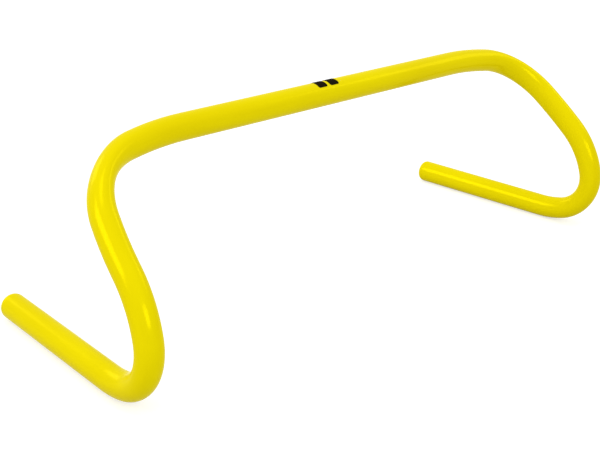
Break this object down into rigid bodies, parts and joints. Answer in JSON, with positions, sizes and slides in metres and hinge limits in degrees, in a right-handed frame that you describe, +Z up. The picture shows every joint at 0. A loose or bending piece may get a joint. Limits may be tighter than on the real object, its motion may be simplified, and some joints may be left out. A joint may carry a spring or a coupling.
{
  "type": "speed hurdle",
  "caption": "Low training hurdle bent from one round plastic tube: a crossbar on leaning legs, with flat feet that point backwards and end in rounded plugs.",
  "frame": {"origin": "middle of the base on the floor: the centre of the bottom of the bounding box", "axes": "+X along the crossbar, +Y the way the feet point from the front bends, +Z up"},
  "size_m": [0.5156, 0.1826, 0.1551],
  "materials": {
    "yellow_tube": "glossy",
    "yellow_plug": "glossy",
    "black_print": "matte"
  },
  "bodies": {
    "root": {"hurdle_tube": "yellow_tube", "left_end_plug": "yellow_plug", "right_end_plug": "yellow_plug", "crown_mark": "black_print"}
  },
  "joints": []
}
